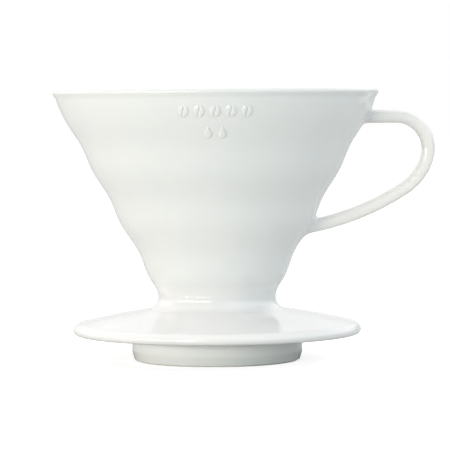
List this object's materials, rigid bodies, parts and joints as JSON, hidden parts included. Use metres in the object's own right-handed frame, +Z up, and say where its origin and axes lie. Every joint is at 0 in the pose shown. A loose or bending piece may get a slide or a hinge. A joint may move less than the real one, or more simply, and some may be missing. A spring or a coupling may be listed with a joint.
{
  "type": "pour over dripper",
  "caption": "Conical ceramic pour over coffee dripper with spiral inner ribs, a round saucer base, a locating ring and a loop handle.",
  "frame": {"origin": "on the cone's axis, in the plane of the foot of the locating ring", "axes": "+Z up along the cone's axis, +X towards the handle, the raised marks face -Y"},
  "size_m": [0.1387, 0.1184, 0.098],
  "materials": {
    "cone_glaze": "clear glossy glaze on white porcelain, softly rippled",
    "rib_glaze": "clear glossy glaze, thin on the crests",
    "saucer_glaze": "clear glossy glaze on white porcelain",
    "ring_glaze": "clear glossy glaze above a ground bare foot",
    "handle_glaze": "clear glossy glaze on white porcelain",
    "slip_bead": "clear glossy glaze pooled over joining slip",
    "raised_mark": "clear glossy glaze over low relief",
    "bare_foot": "unglazed, ground smooth and matt"
  },
  "bodies": {
    "root": {"cone_shell": "cone_glaze", "long_spiral_ribs": "rib_glaze", "short_spiral_ribs": "rib_glaze", "base_saucer": "saucer_glaze", "locating_ring": "ring_glaze", "handle": "handle_glaze", "upper_handle_bead": "slip_bead", "lower_handle_bead": "slip_bead", "waist_bead": "slip_bead", "bean_marks": "raised_mark", "drop_marks": "raised_mark"}
  },
  "joints": []
}
